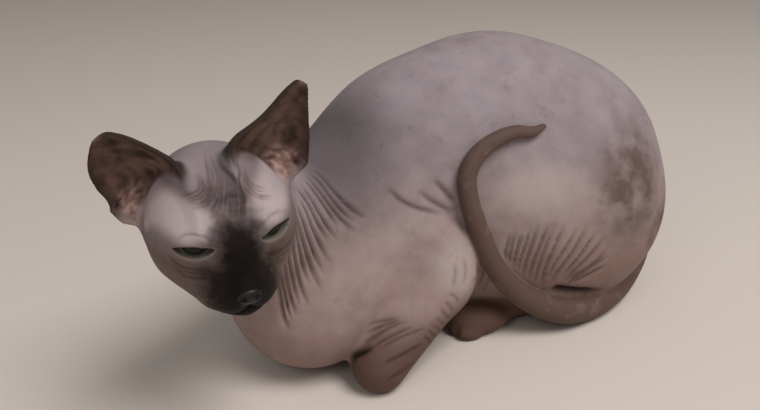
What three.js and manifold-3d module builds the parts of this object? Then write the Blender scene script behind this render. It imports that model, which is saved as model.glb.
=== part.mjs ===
// A sphynx cat crouched on the floor, life size. Millimetres, +Z up.
// The cat faces -X along its midline, and its head is turned round to its left, toward -Y.
// Each form of the body is a distance function: negative inside the form, positive outside it.
// The functions are blended, as skin runs smoothly from one form into the next. Spheres are drawn
// in onto the blended skin to make the solids, which are then parted by thin cuts.

import * as THREE from 'three';
import { mergeVertices } from 'three/addons/utils/BufferGeometryUtils.js';
import Module from 'manifold-3d';

const wasm = await Module();
wasm.setup();

const V = (x, y, z) => new THREE.Vector3(x, y, z);

// Sizes of the whole cat

const ORIGIN = V(-8.7, -12.5, 0); // middle of the cat's outline on the floor, before it is moved there
const GAP = 0.3; // clear space between two pieces that touch
const MIDLINE = 23; // y of the backbone's plane

const BARREL = { at: V(46.5, 23, 93), radii: V(104, 67, 103) };
const RUMP = { at: V(109.7, 23, 90), radii: V(74.4, 65, 79) };
const RIBS = { at: V(-18.6, 23, 95), radii: V(61, 52, 76) };
const WITHERS = { at: V(-52, 23, 90), radii: V(34, 34, 42) };
const CHEST = { at: V(-89.3, -15.8, 44.6), radii: V(49.3, 57.7, 45.6) };
const THIGH = { at: V(100.4, -11.2, 68.8), radii: V(70.7, 42.8, 65.1) };
const SHOULDER = { at: V(-48, -9.3, 93), radii: V(34, 31.6, 40) };

// The legs of one side, each from its upper end to its lower end with a radius at both
const UPPER_ARM = { from: V(-74.4, -20.5, 57.7), to: V(-9.3, -35.3, 57.7), wide: 35.3, narrow: 25.1 };
const ELBOW = { at: V(-16, -40.5, 60), radii: V(31.5, 19, 35) };
const FOREARM = { from: V(-11.2, -39.1, 48.4), to: V(-57.7, -70.7, 15.3), wide: 22.3, narrow: 15.8 };
const FOREPAW = { from: V(-57.7, -65.1, 14), to: V(-41.9, -27.9, 11.2), wide: 14.4, narrow: 11.6 };
const FAR_FOREARM = { from: V(-11, 80, 46), to: V(-70, 70, 15.5), wide: 22, narrow: 15.5 };
const FAR_FOREPAW = { from: V(-70, 66, 14), to: V(-44, 42, 11.5), wide: 14.5, narrow: 11.5 };
const HOCK = { from: V(139.5, -13, 16.7), to: V(55.8, -16.7, 13), wide: 14, narrow: 12.1 };
const TOES = { at: V(27.9, -26, 10.2), radii: V(22.3, 14.9, 11.2) };
const TOE = { count: 4, radii: V(9.3, 4.8, 5.6), spread: 7.1, reach: 14 };

const NECK = { from: V(-66, 16, 86), to: V(-119, -39.1, 114), wide: 40, narrow: 33 };
const THROAT = { from: V(-93, -7.4, 61.4), to: V(-128.3, -52.1, 104.2), wide: 40.9, narrow: 27.9 };

// Sizes of the head, from its middle: forward, to the cat's left, and up
const HEAD = { at: V(-148.1, -87.1, 129.4), yaw: 6.9, pitch: -6.5, roll: 5.4 };
const SKULL = { at: V(-7.4, 0, 7.4), radii: V(37.2, 32.6, 30.2) };
const FACE = { at: V(11.2, 0, 1.9), radii: V(27.9, 25.1, 25.1) };
const CHEEK = { at: V(4.8, 21.8, -0.4), radii: V(22.3, 15.2, 17.8) };
const BROW = { at: V(18.6, 17.7, 12.1), radii: V(13, 11.2, 7.4) };
const BRIDGE = { from: V(16.7, 0, 2.8), to: V(36.3, 0, -14.9), wide: 12.6, narrow: 8.4 };
const JAW = { from: V(0, 18.6, -14.9), to: V(22.5, 11, -22), wide: 14, narrow: 10.6 };
const WHISKER_PAD = { at: V(32.6, 5.8, -21.8), radii: V(10.8, 8.2, 8.2) };
const NOSE = { at: V(42.8, 0, -17.2), radii: V(4.2, 5.8, 3.9) };
const CHIN = { at: V(27.9, 0, -29.8), radii: V(11.2, 8.8, 6.5) };
const EYE = { at: V(21.2, 15.5, 7.2), radius: 10.4, lid: 1.4 };
const GAZE = V(0.91, 0.4, 0.02).normalize();
const LID_SLIT = { half: 10, above: 2.2, below: 5, tilt: -2, rim: 0.9 };
const MOUTH = { lip: 1.4, line: 0.7, inside: V(13, 0, -20) };
const LIP_LINE = [V(13, 21, -27), V(24, 17, -29.5), V(35, 12, -31), V(42, 5.5, -30.5), V(44.5, 0, -28.5)];
const NOSTRIL = { at: V(45.9, 2.9, -17.3), radii: V(2.4, 1, 1.4) };

// An ear, from the middle of its root: across from the inner edge, and along to the tip
const EAR = { inner: V(7.9, 14.8, 28.1), outer: V(-8.4, 45.8, 8.1), tip: V(0, 48.4, 61.4), thick: 2.4 };
const EAR_STEPS = [-13, 0, 9.3, 16.7, 24.2, 30.7, 37.2, 41.9, 45.6, 47.4];
const EAR_CENTRE = [-5, -1, -0.5, -3.3, -4.7, -6, -7, -7.4, -7.4, -7.4];
const EAR_HALF_WIDTH = [14, 20.9, 22.8, 20.9, 18.1, 14.8, 11.2, 8.2, 5.2, 3];
const EAR_CUP = [16.3, 14.9, 13.5, 11.6, 9.3, 7.4, 5.6, 4.2, 2.8, 2.3];

// The ears are turned differently. An edge swells by so much, most at one height, and fades over a reach.
const EAR_LEFT = {
  length: 1.06,
  outerEdge: [{ by: -1.2, at: 36, reach: 12 }, { by: -5, at: -1, reach: 8 }],
  innerEdge: [{ by: 14, at: 9, reach: 13 }],
};
const EAR_RIGHT = {
  length: 0.9,
  outerEdge: [{ by: 5.4, at: 36, reach: 12 }, { by: -3, at: 12, reach: 8 }],
  innerEdge: [{ by: 1.5, at: 6, reach: 13 }],
};

// The tail: along the floor, round the front of the thigh and up over the flank
const TAIL = [
  V(161.8, 29.8, 76.3), V(176.7, 22.3, 52.1), V(169.3, 4, 29.8), V(146.5, -14.5, 14.5), V(121, -31, 11.4),
  V(99, -40, 12), V(82, -45.5, 16), V(66, -45.2, 22), V(51, -45, 31.5), V(38.5, -45.4, 43.6),
  V(28, -47, 57.8), V(20.8, -49, 71), V(14, -47.4, 88.5), V(8.4, -45, 106), V(7.6, -42.8, 121.5),
  V(15, -40.6, 133.8), V(27.5, -39.3, 141.5), V(40.5, -38.8, 144.8), V(52, -38.6, 143.8), V(61, -36.8, 146.2),
];
const TAIL_RADIUS = [
  14, 13, 12.1, 11.4, 10.8, 10.2, 9.4, 8.6, 7.9, 7.3, 6.9, 6.6, 6.4, 6.2, 6, 5.5, 5, 4.4, 3.6, 1.7,
];
const TAIL_NAMES = ['tail_root', 'tail_floor', 'tail_bend', 'tail_upper', 'tail_tip'];

// Where the pieces are parted: eggs that cross the skin steeply
const HEAD_PART = { at: V(1, 0, -2), radii: V(56, 43, 43) };
const NECK_PART = { at: V(-108, -22, 104), radii: V(52, 60, 52) };
const CHEST_PART = { at: V(-91, -20, 40), radii: V(58, 68, 56) };
const UPPER_ARM_PART = { at: V(-34, -48, 60), radii: V(56, 36, 46) };
const THIGH_PART = { at: V(103, -44, 64), radii: V(70, 46, 62) };

// Finishes

const GREY_SKIN = new THREE.MeshStandardMaterial({ color: 0x8d8084, roughness: 0.72 });
const PINK_SKIN = new THREE.MeshStandardMaterial({ color: 0xa88f8a, roughness: 0.7 });
const DARK_SKIN = new THREE.MeshStandardMaterial({ color: 0x4a3e3d, roughness: 0.7 });
const EAR_SKIN = new THREE.MeshStandardMaterial({ color: 0x3c302d, roughness: 0.7 });
const NOSE_LEATHER = new THREE.MeshStandardMaterial({ color: 0x1f1b1b, roughness: 0.45 });
const EYE_GLASS = new THREE.MeshStandardMaterial({ color: 0x6f7d6c, roughness: 0.08 });

// Distance functions

// How far a point is outside an egg with these half widths
function egg(p, form) {
  const x = p.x - form.at.x;
  const y = p.y - form.at.y;
  const z = p.z - form.at.z;
  const r = form.radii;
  const near = Math.hypot(x / r.x, y / r.y, z / r.z);
  const slope = Math.hypot(x / (r.x * r.x), y / (r.y * r.y), z / (r.z * r.z));
  return near * (near - 1) / Math.max(slope, 1e-9);
}

// How far a point is outside a limb that tapers from one round end to the other
function limb(p, form) {
  const axis = form.to.clone().sub(form.from);
  const along = p.clone().sub(form.from).dot(axis) / axis.lengthSq();
  const t = THREE.MathUtils.clamp(along, 0, 1);
  const middle = form.from.clone().addScaledVector(axis, t);
  return p.distanceTo(middle) - THREE.MathUtils.lerp(form.wide, form.narrow, t);
}

// Joins two forms with a fillet of skin
function blend(a, b, fillet) {
  const h = THREE.MathUtils.clamp(0.5 + 0.5 * (b - a) / fillet, 0, 1);
  return b + (a - b) * h - fillet * h * (1 - h);
}

// The same form on the other side of the backbone
function mirrored(form, side) {
  const copy = { ...form };
  for (const key of ['at', 'from', 'to']) {
    if (form[key]) {
      copy[key] = V(form[key].x, MIDLINE + side * (form[key].y - MIDLINE), form[key].z);
    }
  }
  return copy;
}

function torsoForm(p) {
  let d = blend(egg(p, BARREL), egg(p, RUMP), 32);
  d = blend(d, egg(p, RIBS), 28);
  d = blend(d, egg(p, WITHERS), 28);
  return blend(d, egg(p, CHEST), 28);
}

function armForm(p, side) {
  return blend(limb(p, mirrored(UPPER_ARM, side)), egg(p, mirrored(SHOULDER, side)), 23);
}

function elbowForm(p, side) {
  return egg(p, mirrored(ELBOW, side));
}

function footForm(p, side) {
  let d = blend(limb(p, mirrored(HOCK, side)), egg(p, mirrored(TOES, side)), 11);
  for (let i = 0; i < TOE.count; i++) {
    const across = i - (TOE.count - 1) / 2;
    const reach = TOE.reach - Math.abs(across) * 3;
    const at = V(TOES.at.x - reach, TOES.at.y + across * TOE.spread, TOE.radii.z - 0.5);
    d = blend(d, egg(p, mirrored({ at, radii: TOE.radii }, side)), 2.5);
  }
  return d;
}

function bodyForm(p) {
  let d = torsoForm(p);
  for (const side of [1, -1]) {
    d = blend(d, egg(p, mirrored(THIGH, side)), 20);
    d = blend(d, armForm(p, side), 15);
    d = blend(d, elbowForm(p, side), 5);
    d = blend(d, limb(p, side > 0 ? FOREARM : FAR_FOREARM), 10);
    d = blend(d, limb(p, side > 0 ? FOREPAW : FAR_FOREPAW), 8);
    d = blend(d, footForm(p, side), 6);
  }
  return d;
}

function neckForm(p) {
  return blend(limb(p, NECK), limb(p, THROAT), 23);
}

// The head has a frame of its own: forward, left and up
function headFrame() {
  const yaw = THREE.MathUtils.degToRad(HEAD.yaw);
  const pitch = THREE.MathUtils.degToRad(HEAD.pitch);
  const roll = THREE.MathUtils.degToRad(HEAD.roll);
  const level = Math.cos(pitch);
  const forward = V(Math.sin(yaw) * level, -Math.cos(yaw) * level, Math.sin(pitch));
  const left = V(0, 0, 1).cross(forward).normalize();
  left.applyAxisAngle(forward, roll);
  const up = forward.clone().cross(left);
  return new THREE.Matrix4().makeBasis(forward, left, up).setPosition(HEAD.at);
}
const FROM_HEAD = headFrame();
const TO_HEAD = FROM_HEAD.clone().invert();

function inHead(p) {
  return p.clone().applyMatrix4(TO_HEAD);
}

// Skull, cheeks, muzzle and lids, with both sides alike
function headForm(p) {
  const q = inHead(p);
  const s = V(q.x, Math.abs(q.y), q.z);
  let d = blend(egg(q, SKULL), egg(q, FACE), 13);
  d = blend(d, egg(s, CHEEK), 11);
  d = blend(d, egg(s, BROW), 8);
  d = blend(d, limb(q, BRIDGE), 9);
  d = blend(d, egg(s, WHISKER_PAD), 6);
  d = blend(d, egg(q, NOSE), 4);
  d = blend(d, egg(q, CHIN), 5);
  d = blend(d, limb(s, JAW), 10);
  return blend(d, s.distanceTo(EYE.at) - EYE.radius - EYE.lid, 4);
}

function neckedForm(p) {
  return blend(bodyForm(p), neckForm(p), 20);
}

function wholeForm(p) {
  return blend(neckedForm(p), headForm(p), 13);
}

// Solids

// A closed geometry with shared corners, as the joining library wants it
function solidOf(geometry) {
  const bare = geometry.clone();
  bare.deleteAttribute('normal');
  bare.deleteAttribute('uv');
  const shared = mergeVertices(bare, 1e-4);
  return new wasm.Manifold(new wasm.Mesh({
    numProp: 3,
    vertProperties: new Float32Array(shared.attributes.position.array),
    triVerts: new Uint32Array(shared.index.array),
  }));
}

// Draws a faceted sphere in onto a form, each corner along its own line to the middle
function drawnOnto(form, middle, reach, detail) {
  const ball = new THREE.IcosahedronGeometry(1, detail);
  ball.deleteAttribute('normal');
  ball.deleteAttribute('uv');
  const geometry = mergeVertices(ball, 1e-4);
  const corners = geometry.attributes.position;
  const point = V(0, 0, 0);
  for (let i = 0; i < corners.count; i++) {
    const line = V(corners.getX(i), corners.getY(i), corners.getZ(i)).multiply(reach);
    let out = 1;
    let step = 1;
    for (let n = 0; n < 60 && step > 1e-4 && out > 0.02; n++) {
      point.copy(middle).addScaledVector(line, out);
      step = 0.75 * form(point) / line.length();
      out -= step;
    }
    point.copy(middle).addScaledVector(line, out);
    corners.setXYZ(i, point.x, point.y, point.z);
  }
  return solidOf(geometry);
}

// The skin over one form: the whole body, kept to within a margin of that form
function skinOver(form, margin, middle, reach, detail) {
  return drawnOnto((p) => Math.max(wholeForm(p), form(p) - margin), middle, reach, detail);
}

// The largest closed piece of a solid
function largest(solid) {
  const pieces = solid.decompose();
  pieces.sort((a, b) => b.volume() - a.volume());
  return pieces[0];
}

// A closed tube along a curve, with a round section
function tubeAlong(points, radius, steps) {
  const section = new THREE.Shape().absarc(0, 0, radius, 0, Math.PI * 2);
  const curve = new THREE.CatmullRomCurve3(points);
  return solidOf(new THREE.ExtrudeGeometry(section, {
    steps, curveSegments: 3, extrudePath: curve, bevelEnabled: false,
  }));
}

function eggSolid(middle, radii, matrix, across = 20, down = 14) {
  const geometry = new THREE.SphereGeometry(1, across, down);
  geometry.scale(radii.x, radii.y, radii.z);
  geometry.translate(middle.x, middle.y, middle.z);
  if (matrix) {
    geometry.applyMatrix4(matrix);
  }
  return solidOf(geometry);
}

// The tail's middle line and radius at a share of its length
const TAIL_LINE = new THREE.CatmullRomCurve3(TAIL, false, 'catmullrom', 0.5);
function tailRadius(share) {
  const place = share * (TAIL_RADIUS.length - 1);
  const i = Math.min(Math.floor(place), TAIL_RADIUS.length - 2);
  return THREE.MathUtils.lerp(TAIL_RADIUS[i], TAIL_RADIUS[i + 1], place - i);
}

// A length of the tail: a cylinder whose rings are moved along the line, flat where it lies
function tailLength(start, end, grown) {
  const steps = Math.max(Math.round((end - start) * 45), 4);
  const geometry = new THREE.CylinderGeometry(1, 1, 1, 10, steps);
  const corners = geometry.attributes.position;
  for (let i = 0; i < corners.count; i++) {
    const share = THREE.MathUtils.lerp(start, end, corners.getY(i) + 0.5);
    const at = TAIL_LINE.getPoint(share);
    const along = TAIL_LINE.getTangent(share);
    const across = V(0.35, 1, 0.2).cross(along).normalize();
    const third = along.clone().cross(across);
    const blunt = Math.sqrt(Math.min(1, (1.012 - share) * 40));
    const radius = tailRadius(share) * blunt + grown;
    at.addScaledVector(across, corners.getX(i) * radius);
    at.addScaledVector(third, -corners.getZ(i) * radius);
    corners.setXYZ(i, at.x, at.y, Math.max(at.z, -grown));
  }
  return solidOf(geometry);
}

// A value at a place between the steps of a list
function interpolate(steps, values, at) {
  let i = 0;
  while (i < steps.length - 2 && at > steps[i + 1]) {
    i++;
  }
  return THREE.MathUtils.mapLinear(at, steps[i], steps[i + 1], values[i], values[i + 1]);
}

// How far an edge of the ear swells at a height
function swell(edge, height) {
  return edge.reduce((sum, s) => sum + s.by * Math.exp(-(((height - s.at) / s.reach) ** 2)), 0);
}

// One ear, a curved sheet with thickness. Its two faces and its edge come from one box of tiles.
function earSolid(side) {
  const shape = side > 0 ? EAR_LEFT : EAR_RIGHT;
  const root = EAR.inner.clone().add(EAR.outer).multiplyScalar(0.5);
  const across = EAR.outer.clone().sub(EAR.inner).normalize();
  const along = EAR.tip.clone().sub(root);
  along.addScaledVector(across, -along.dot(across)).normalize();
  const facing = across.clone().cross(along);
  const [low, high] = [EAR_STEPS[0], EAR_STEPS[EAR_STEPS.length - 1]];

  // A point of the middle sheet, from -1 to 1 across and 0 to 1 along
  const sheet = (u, v) => {
    const height = THREE.MathUtils.lerp(low, high, v);
    const outer = swell(shape.outerEdge, height);
    const inner = swell(shape.innerEdge, height);
    const centre = interpolate(EAR_STEPS, EAR_CENTRE, height) + (outer - inner) / 2;
    const half = interpolate(EAR_STEPS, EAR_HALF_WIDTH, height) + (outer + inner) / 2;
    const cup = interpolate(EAR_STEPS, EAR_CUP, height);
    const at = root.clone().addScaledVector(across, centre + u * half);
    at.addScaledVector(along, height * shape.length);
    return at.addScaledVector(facing, -cup * (1 - u * u));
  };

  const tiles = { across: 8, along: 10 };
  const plane = new THREE.PlaneGeometry(2, 1, tiles.across, tiles.along);
  const count = plane.attributes.position.count;
  const corners = [];
  for (const face of [1, -1]) {
    for (let i = 0; i < count; i++) {
      const u = plane.attributes.position.getX(i);
      const v = plane.attributes.position.getY(i) + 0.5;
      const du = sheet(u + 0.01, v).sub(sheet(u - 0.01, v));
      const dv = sheet(u, Math.min(v + 0.01, 1)).sub(sheet(u, v - 0.01));
      const outward = du.cross(dv).normalize();
      const thick = EAR.thick * (1 - 0.35 * v);
      const at = sheet(u, v).addScaledVector(outward, face * thick / 2);
      at.y *= side;
      corners.push(at.applyMatrix4(FROM_HEAD));
    }
  }

  // The back face has the front face's tiles the other way out, so both bend alike
  const front = Array.from(plane.index.array);
  const faces = [];
  for (let i = 0; i < front.length; i += 3) {
    const [a, b, c] = [front[i], front[i + 1], front[i + 2]];
    faces.push(a, b, c, a + count, c + count, b + count);
  }

  // The edge joins the two faces all round
  const rim = [];
  const row = tiles.across + 1;
  for (let i = 0; i < tiles.across; i++) {
    rim.push(i);
  }
  for (let j = 0; j < tiles.along; j++) {
    rim.push(j * row + tiles.across);
  }
  for (let i = tiles.across; i > 0; i--) {
    rim.push(tiles.along * row + i);
  }
  for (let j = tiles.along; j > 0; j--) {
    rim.push(j * row);
  }
  rim.forEach((a, i) => {
    const b = rim[(i + 1) % rim.length];
    faces.push(a, b, b + count, a, b + count, a + count);
  });
  if (side < 0) {
    for (let i = 0; i < faces.length; i += 3) {
      [faces[i + 1], faces[i + 2]] = [faces[i + 2], faces[i + 1]];
    }
  }
  const geometry = new THREE.BufferGeometry().setFromPoints(corners);
  geometry.setIndex(faces);
  return solidOf(geometry);
}

// A point on the head's skin, found from outside toward the middle of the muzzle
function onFace(local, sunk) {
  const aim = MOUTH.inside.clone();
  const line = local.clone().sub(aim).normalize();
  let far = 60;
  for (let n = 0; n < 60; n++) {
    const at = aim.clone().addScaledVector(line, far).applyMatrix4(FROM_HEAD);
    far -= 0.7 * headForm(at);
  }
  return aim.addScaledVector(line, far - sunk).applyMatrix4(FROM_HEAD);
}

// The line where the lips meet, from the far left corner to the right one, under the nose
function lipLine(sunk) {
  const left = LIP_LINE.map((p) => onFace(p, sunk));
  const right = LIP_LINE.slice(0, -1).reverse().map((p) => onFace(V(p.x, -p.y, p.z), sunk));
  return [...left, ...right];
}

// The gap between the lids, as a leaf-shaped bar that runs out through them
function lidFrame(side) {
  const out = GAZE.clone();
  const across = V(0, 0, 1).cross(out).normalize();
  across.applyAxisAngle(out, THREE.MathUtils.degToRad(-LID_SLIT.tilt));
  const up = out.clone().cross(across);
  const frame = new THREE.Matrix4().makeBasis(across, up, out).setPosition(EYE.at);
  if (side < 0) {
    frame.premultiply(new THREE.Matrix4().makeScale(1, -1, 1));
  }
  return frame;
}

function lidCurve(t) {
  const x = LID_SLIT.half * Math.cos(t);
  const tall = Math.sin(t) > 0 ? LID_SLIT.above : LID_SLIT.below;
  return new THREE.Vector2(x, tall * Math.sin(t) * Math.sqrt(Math.abs(Math.sin(t))));
}

function lidSlit(side) {
  const leaf = [];
  for (let i = 0; i < 16; i++) {
    leaf.push(lidCurve(i / 16 * Math.PI * 2));
  }
  const bar = new THREE.ExtrudeGeometry(new THREE.Shape(leaf), {
    depth: 16, bevelEnabled: false, curveSegments: 1,
  });
  bar.applyMatrix4(lidFrame(side));
  bar.applyMatrix4(FROM_HEAD);
  return solidOf(side < 0 ? flipped(bar) : bar);
}

// Mirroring turns a surface inside out, and this turns it back
function flipped(geometry) {
  const corners = geometry.attributes.position;
  for (let i = 0; i < corners.count; i += 3) {
    const b = V(0, 0, 0).fromBufferAttribute(corners, i + 1);
    const c = V(0, 0, 0).fromBufferAttribute(corners, i + 2);
    corners.setXYZ(i + 1, c.x, c.y, c.z);
    corners.setXYZ(i + 2, b.x, b.y, b.z);
  }
  return geometry;
}

// The raised edge of the lids
function lidRim(side) {
  const frame = lidFrame(side);
  const loop = [];
  const reach = EYE.radius + EYE.lid - 0.4;
  for (let i = 0; i < 24; i++) {
    const edge = lidCurve(i / 24 * Math.PI * 2);
    const out = Math.sqrt(reach * reach - edge.lengthSq());
    const wider = 1 + LID_SLIT.rim * 0.12;
    const taller = 1 + LID_SLIT.rim * 0.3;
    loop.push(V(edge.x * wider, edge.y * taller, out).applyMatrix4(frame));
  }
  const points = loop.map((p) => p.applyMatrix4(FROM_HEAD));
  const section = new THREE.Shape().absarc(0, 0, LID_SLIT.rim, 0, Math.PI * 2);
  const curve = new THREE.CatmullRomCurve3(points, true);
  return solidOf(new THREE.ExtrudeGeometry(section, {
    steps: 18, curveSegments: 2, extrudePath: curve, bevelEnabled: false,
  }));
}

const group = new THREE.Group();
group.position.copy(ORIGIN).negate();

function addPart(name, solid, material) {
  const mesh = largest(solid).getMesh();
  const geometry = new THREE.BufferGeometry();
  geometry.setAttribute('position', new THREE.BufferAttribute(mesh.vertProperties, 3));
  geometry.setIndex(new THREE.BufferAttribute(mesh.triVerts, 1));
  const part = new THREE.Mesh(geometry, material);
  part.name = name;
  group.add(part);
}

// Parting

function trunkForm(p) {
  const near = blend(torsoForm(p), egg(p, THIGH), 20);
  return blend(near, egg(p, mirrored(THIGH, -1)), 20);
}

const HEAD_CORE = V(5, 0, 0).applyMatrix4(FROM_HEAD);
const HEAD_REACH = V(75, 75, 75);
const foreleg = (p, s) => limb(p, s > 0 ? FOREARM : FAR_FOREARM);
const paw = (p, s) => limb(p, s > 0 ? FOREPAW : FAR_FOREPAW);
const upperLeg = (p, s) => Math.min(armForm(p, s), elbowForm(p, s));

// The fleshy pieces. Each is the skin over its form, kept inside its parting form, and the pieces
// further down the list give way to it.
const FLESH = [
  { name: 'head', form: headForm, margin: 14, at: HEAD_CORE, reach: HEAD_REACH,
    detail: 8, part: (p) => egg(inHead(p), HEAD_PART), cut: 3, material: DARK_SKIN },
  { name: 'neck', form: neckForm, margin: 14, at: V(-100, -18, 92), reach: V(95, 95, 95), detail: 4,
    part: (p) => egg(p, NECK_PART), cut: 3, material: PINK_SKIN },
  { name: 'forepaw', form: paw, margin: 6, at: V(-49, -46, 13), far: V(-57, 54, 13), reach: V(50, 55, 45),
    detail: 3, part: (p, s) => paw(p, s) - 2.5, cut: 2, material: PINK_SKIN, paired: true },
  { name: 'forearm', form: foreleg, margin: 6, at: V(-34, -55, 31), far: V(-40, 75, 30), reach: V(80, 60, 70),
    detail: 3, part: (p, s) => foreleg(p, s) - 2.5, cut: 2, material: PINK_SKIN, paired: true },
  { name: 'hind_foot', form: footForm, margin: 5, at: V(79, -16, 13), reach: V(150, 40, 40),
    detail: 4, part: (p, s) => footForm(p, s) - 2, cut: 2, material: PINK_SKIN, paired: true },
  { name: 'upper_foreleg', form: upperLeg, margin: 12, at: V(-36, -32, 60), reach: V(110, 80, 120),
    detail: 3, part: (p, s) => egg(p, mirrored(UPPER_ARM_PART, s)), cut: 2,
    material: PINK_SKIN, paired: true },
  { name: 'thigh', form: (p, s) => egg(p, mirrored(THIGH, s)), margin: 12, at: V(102, -22, 66),
    reach: V(120, 90, 110), detail: 4, part: (p, s) => egg(p, mirrored(THIGH_PART, s)), cut: 3,
    material: PINK_SKIN, paired: true },
  { name: 'chest', form: (p) => egg(p, CHEST), margin: 14, at: CHEST.at, reach: V(95, 95, 95), detail: 4,
    part: (p) => egg(p, CHEST_PART), cut: 3, material: PINK_SKIN },
  { name: 'torso', form: trunkForm, margin: 10, at: V(40, 23, 90),
    reach: V(200, 130, 150), detail: 7, material: GREY_SKIN },
];

// Lids, eyes, lips and the line of the mouth, on the head alone
function facedHead(head) {
  for (const side of [1, -1]) {
    const eye = V(EYE.at.x, EYE.at.y * side, EYE.at.z).applyMatrix4(FROM_HEAD);
    const ball = (r) => eggSolid(eye, V(r, r, r), null, 12, 9);
    head = head.add(lidRim(side)).subtract(ball(EYE.radius + GAP)).subtract(lidSlit(side));
    addPart(side > 0 ? 'eye_left' : 'eye_right', ball(EYE.radius), EYE_GLASS);
  }
  head = head.add(tubeAlong(lipLine(0.7), MOUTH.lip, 18));
  head = head.subtract(tubeAlong(lipLine(-0.3), MOUTH.line, 18));

  // The nose leather is a piece of its own, with the nostrils sunk in it
  const tip = NOSE.at.clone().applyMatrix4(FROM_HEAD);
  const pad = (grown) => drawnOnto((p) => egg(inHead(p), NOSE) - 0.8 - grown, tip, V(12, 12, 12), 1);
  let nose = head.intersect(pad(0));
  for (const side of [1, -1]) {
    const at = V(NOSTRIL.at.x, NOSTRIL.at.y * side, NOSTRIL.at.z);
    nose = nose.subtract(eggSolid(at, NOSTRIL.radii, FROM_HEAD, 7, 5));
  }
  addPart('nose', nose, NOSE_LEATHER);
  return head.subtract(pad(GAP));
}

const floor = solidOf(new THREE.BoxGeometry(900, 900, 200).translate(0, 0, -100));
const lengths = TAIL_NAMES.map((name, i) => [i / TAIL_NAMES.length, (i + 1) / TAIL_NAMES.length]);
const tailRooms = lengths.map(([start, end]) =>
  tailLength(Math.max(start - 0.001, 0), Math.min(end + 0.001, 1), GAP));
const taken = [];
for (const piece of FLESH) {
  for (const side of piece.paired ? [1, -1] : [1]) {
    const at = side > 0 ? piece.at : (piece.far ?? mirrored(piece, side).at);
    const form = (p) => piece.form(p, side);
    let solid = skinOver(form, piece.margin, at, piece.reach, piece.detail);
    if (piece.part) {
      solid = solid.intersect(drawnOnto((p) => piece.part(p, side), at, piece.reach, piece.cut));
    }
    for (const other of taken) {
      solid = solid.subtract(other);
    }
    for (const other of [...tailRooms, floor]) {
      solid = solid.subtract(other);
    }
    if (piece.part) {
      taken.push(drawnOnto((p) => piece.part(p, side) - GAP, at, piece.reach, piece.cut));
    }
    if (piece.name === 'head') {
      solid = facedHead(solid);
    }
    const name = piece.paired ? piece.name + (side > 0 ? '_left' : '_right') : piece.name;
    addPart(name, solid, piece.material);
  }
}

// Ears and tail
const roomForm = (p) => Math.max(wholeForm(p) - GAP, headForm(p) - 8);
const headRoom = drawnOnto(roomForm, HEAD_CORE, HEAD_REACH, 8);
for (const side of [1, -1]) {
  const solid = earSolid(side).subtract(headRoom);
  addPart(side > 0 ? 'ear_left' : 'ear_right', solid, EAR_SKIN);
}
lengths.forEach(([start, end], i) => {
  addPart(TAIL_NAMES[i], tailLength(start + 0.0005, end - 0.0005, 0), DARK_SKIN);
});

export default group;
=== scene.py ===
# %% [markdown]
# # A hairless cat, crouched and looking round
# A sphynx cat has almost no coat, so there is nothing to hide behind: the whole model is skin.
# The body is one continuous surface, so it is made as one surface here too. The forms under the
# skin (rump, ribs, thigh, skull, cheeks) are simple eggs and tapered limbs, and the skin is drawn
# over all of them at once. Folds, lids and lips are then worked into that surface.
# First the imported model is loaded. It says where everything is, and how large.

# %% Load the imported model
import bpy
import numpy as np
from mathutils import Vector, Matrix


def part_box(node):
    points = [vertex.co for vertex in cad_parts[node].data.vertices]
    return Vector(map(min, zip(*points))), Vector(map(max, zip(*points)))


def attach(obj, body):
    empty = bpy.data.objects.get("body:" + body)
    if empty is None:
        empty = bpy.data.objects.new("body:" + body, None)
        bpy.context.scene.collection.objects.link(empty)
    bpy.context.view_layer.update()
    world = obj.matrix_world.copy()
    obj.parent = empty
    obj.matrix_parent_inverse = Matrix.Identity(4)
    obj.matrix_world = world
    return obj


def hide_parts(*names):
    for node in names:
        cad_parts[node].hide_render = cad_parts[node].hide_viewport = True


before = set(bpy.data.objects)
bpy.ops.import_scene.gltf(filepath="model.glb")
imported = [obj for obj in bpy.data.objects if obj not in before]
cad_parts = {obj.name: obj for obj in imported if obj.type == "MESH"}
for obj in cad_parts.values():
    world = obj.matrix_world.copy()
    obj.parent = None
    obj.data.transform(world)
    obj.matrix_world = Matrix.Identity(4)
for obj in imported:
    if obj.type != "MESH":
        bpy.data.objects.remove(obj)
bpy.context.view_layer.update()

# %% [markdown]
# ## Sizes and places
# The forms are given in millimetres in the cat's own frame, with the floor at zero. One small
# step turns such a place into Blender's metres in the frame of the imported model. The middle of
# an eye in the imported model is printed beside the same place worked out here.

# %% From the cat's millimetres to Blender's metres
MM = 0.001


def V(*numbers):
    return np.array(numbers, float)


def unit(a):
    return a / np.linalg.norm(a, axis=-1, keepdims=True)


FLOOR_MIDDLE = V(-8.7, -12.5, 0)  # the point of the cat's frame that lies at Blender's origin
MIDLINE = 23.0  # the plane of the backbone


def to_blender(points):
    return (np.asarray(points) - FLOOR_MIDDLE) * MM


# %% The head's own frame: forward, to the cat's left, and up
def frame_of(yaw, pitch, roll):
    y, p, r = np.radians([yaw, pitch, roll])
    forward = V(np.sin(y) * np.cos(p), -np.cos(y) * np.cos(p), np.sin(p))
    left = unit(np.cross(V(0, 0, 1), forward))
    up = np.cross(forward, left)
    left, up = left * np.cos(r) + up * np.sin(r), up * np.cos(r) - left * np.sin(r)
    return np.array([forward, left, up])


HEAD_AT = V(-148.1, -87.1, 129.4)
HEAD_AXES = frame_of(6.9, -6.5, 5.4)


def from_head(points):
    return HEAD_AT + np.asarray(points, float) @ HEAD_AXES


def in_head(points):
    return (points - HEAD_AT) @ HEAD_AXES.T


def paired_in_head(points):
    """Places in the head with the right half laid over the left."""
    q = in_head(points)
    return q * V(1, 0, 1) + np.abs(q) * V(0, 1, 0)


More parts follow.
